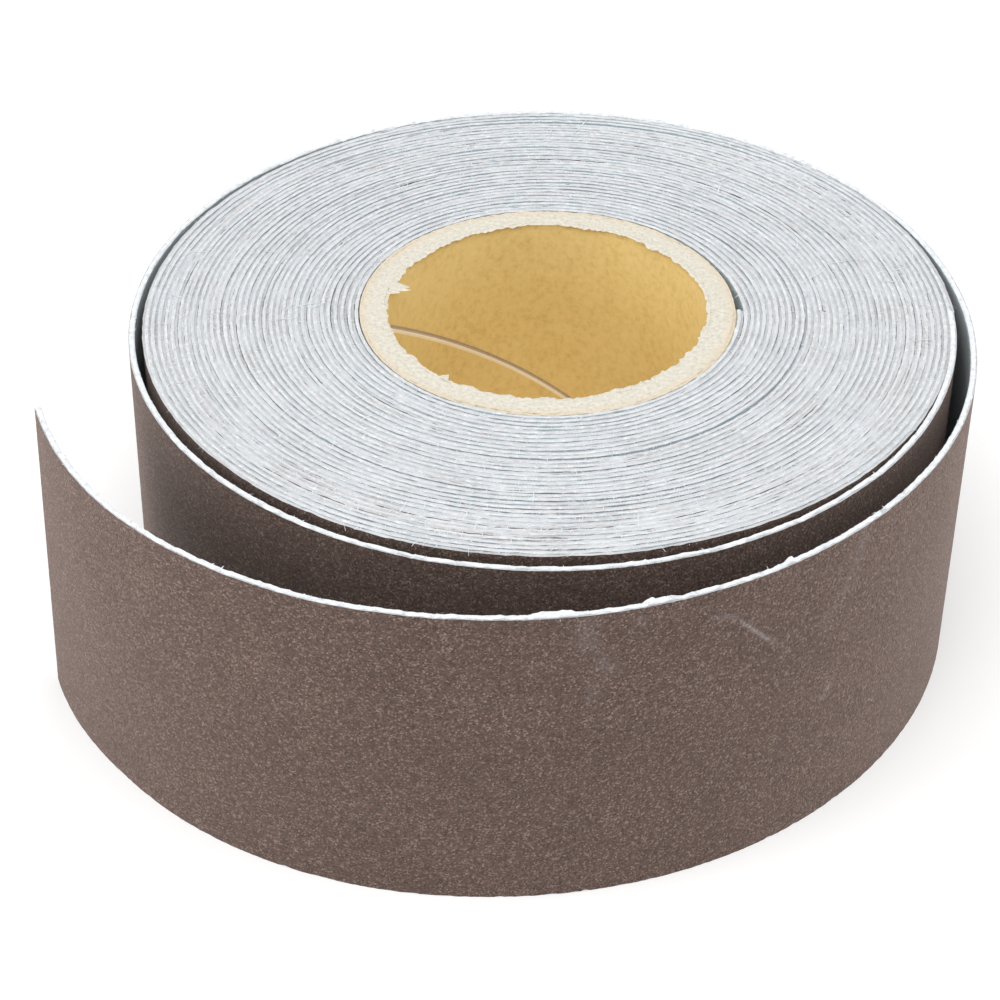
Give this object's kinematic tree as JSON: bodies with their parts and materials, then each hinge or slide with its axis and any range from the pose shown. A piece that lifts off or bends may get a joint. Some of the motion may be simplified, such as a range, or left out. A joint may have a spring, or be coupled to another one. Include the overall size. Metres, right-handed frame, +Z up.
{
  "type": "abrasive cloth roll",
  "caption": "Abrasive cloth strip wound grit side out on a hollow paper core, with a loose outer turn and a springy free tail.",
  "frame": {"origin": "centre of the core's bore at the bottom end face", "axes": "+Z up along the core's axis; the strip leaves the packed roll on +X and the tail's free end is on the left, -X"},
  "size_m": [0.1361, 0.1346, 0.05],
  "materials": {
    "kraft_liner": "smooth brown kraft paper",
    "chipboard": "pale grey-cream chipboard with a torn cut edge",
    "kraft_wrap": "kraft paper, tinted orange by glue",
    "glue": "dried adhesive film",
    "cloth": "finely woven blue-grey cotton, white fuzzy cut edges",
    "grit": "brown aluminium oxide grain in matt resin"
  },
  "bodies": {
    "roll": {"core_liner": "kraft_liner", "core_ply_1": "chipboard", "core_ply_2": "chipboard", "core_ply_3": "chipboard", "core_ply_4": "chipboard", "core_wrap": "kraft_wrap", "start_glue": "glue", "wound_backing": "cloth", "wound_grit": "grit", "loose_turn_backing": "cloth", "loose_turn_grit": "grit"},
    "tail_1": {"tail_1_backing": "cloth", "tail_1_grit": "grit"},
    "tail_2": {"tail_2_backing": "cloth", "tail_2_grit": "grit"},
    "tail_3": {"tail_3_backing": "cloth", "tail_3_grit": "grit"},
    "tail_4": {"tail_4_backing": "cloth", "tail_4_grit": "grit"},
    "tail_5": {"tail_5_backing": "cloth", "tail_5_grit": "grit"},
    "tail_6": {"tail_6_backing": "cloth", "tail_6_grit": "grit"},
    "tail_7": {"tail_7_backing": "cloth", "tail_7_grit": "grit"},
    "tail_8": {"tail_8_backing": "cloth", "tail_8_grit": "grit"},
    "tail_9": {"tail_9_backing": "cloth", "tail_9_grit": "grit"},
    "tail_10": {"tail_10_backing": "cloth", "tail_10_grit": "grit"},
    "tail_11": {"tail_11_backing": "cloth", "tail_11_grit": "grit"},
    "tail_12": {"tail_12_backing": "cloth", "tail_12_grit": "grit"}
  },
  "joints": [
    {"name": "tail_peel", "type": "hinge", "parent": "roll", "child": "tail_1", "pos_m": [0.04871, 0.0372, 0.025], "axis": [0, 0, 1], "range_deg": [0, 20], "stiffness_Nm_per_rad": 0.08},
    {"name": "tail_peel_2", "type": "hinge", "parent": "tail_1", "child": "tail_2", "pos_m": [0.05842, 0.02003, 0.025], "axis": [0, 0, 1], "range_deg": [0, 20], "stiffness_Nm_per_rad": 0.08},
    {"name": "tail_peel_3", "type": "hinge", "parent": "tail_2", "child": "tail_3", "pos_m": [0.06266, 0.00076, 0.025], "axis": [0, 0, 1], "range_deg": [0, 20], "stiffness_Nm_per_rad": 0.08},
    {"name": "tail_curl", "type": "hinge", "parent": "tail_3", "child": "tail_4", "pos_m": [0.06106, -0.0189, 0.025], "axis": [0, 0, 1], "range_deg": [-1.3, 15], "stiffness_Nm_per_rad": 0.08},
    {"name": "tail_curl_5", "type": "hinge", "parent": "tail_4", "child": "tail_5", "pos_m": [0.05376, -0.03723, 0.025], "axis": [0, 0, 1], "range_deg": [-1.3, 15], "stiffness_Nm_per_rad": 0.08},
    {"name": "tail_curl_6", "type": "hinge", "parent": "tail_5", "child": "tail_6", "pos_m": [0.04157, -0.05274, 0.025], "axis": [0, 0, 1], "range_deg": [-1.3, 15], "stiffness_Nm_per_rad": 0.08},
    {"name": "tail_curl_7", "type": "hinge", "parent": "tail_6", "child": "tail_7", "pos_m": [0.02559, -0.06433, 0.025], "axis": [0, 0, 1], "range_deg": [-1.3, 15], "stiffness_Nm_per_rad": 0.08},
    {"name": "tail_curl_8", "type": "hinge", "parent": "tail_7", "child": "tail_8", "pos_m": [0.00705, -0.07112, 0.025], "axis": [0, 0, 1], "range_deg": [-1.3, 15], "stiffness_Nm_per_rad": 0.08},
    {"name": "tail_curl_9", "type": "hinge", "parent": "tail_8", "child": "tail_9", "pos_m": [-0.01263, -0.07257, 0.025], "axis": [0, 0, 1], "range_deg": [-1.3, 15], "stiffness_Nm_per_rad": 0.08},
    {"name": "tail_curl_10", "type": "hinge", "parent": "tail_9", "child": "tail_10", "pos_m": [-0.03196, -0.06859, 0.025], "axis": [0, 0, 1], "range_deg": [-1.3, 15], "stiffness_Nm_per_rad": 0.08},
    {"name": "tail_curl_11", "type": "hinge", "parent": "tail_10", "child": "tail_11", "pos_m": [-0.04936, -0.0593, 0.025], "axis": [0, 0, 1], "range_deg": [-1.3, 15], "stiffness_Nm_per_rad": 0.08},
    {"name": "tail_curl_12", "type": "hinge", "parent": "tail_11", "child": "tail_12", "pos_m": [-0.06327, -0.04531, 0.025], "axis": [0, 0, 1], "range_deg": [-1.3, 15], "stiffness_Nm_per_rad": 0.08}
  ],
  "couplings": [
    {"joint": "tail_peel_2", "follows": "tail_peel", "ratio": 1},
    {"joint": "tail_peel_3", "follows": "tail_peel", "ratio": 1},
    {"joint": "tail_curl_5", "follows": "tail_curl", "ratio": 1},
    {"joint": "tail_curl_6", "follows": "tail_curl", "ratio": 1},
    {"joint": "tail_curl_7", "follows": "tail_curl", "ratio": 1},
    {"joint": "tail_curl_8", "follows": "tail_curl", "ratio": 1},
    {"joint": "tail_curl_9", "follows": "tail_curl", "ratio": 1},
    {"joint": "tail_curl_10", "follows": "tail_curl", "ratio": 1},
    {"joint": "tail_curl_11", "follows": "tail_curl", "ratio": 1},
    {"joint": "tail_curl_12", "follows": "tail_curl", "ratio": 1}
  ]
}
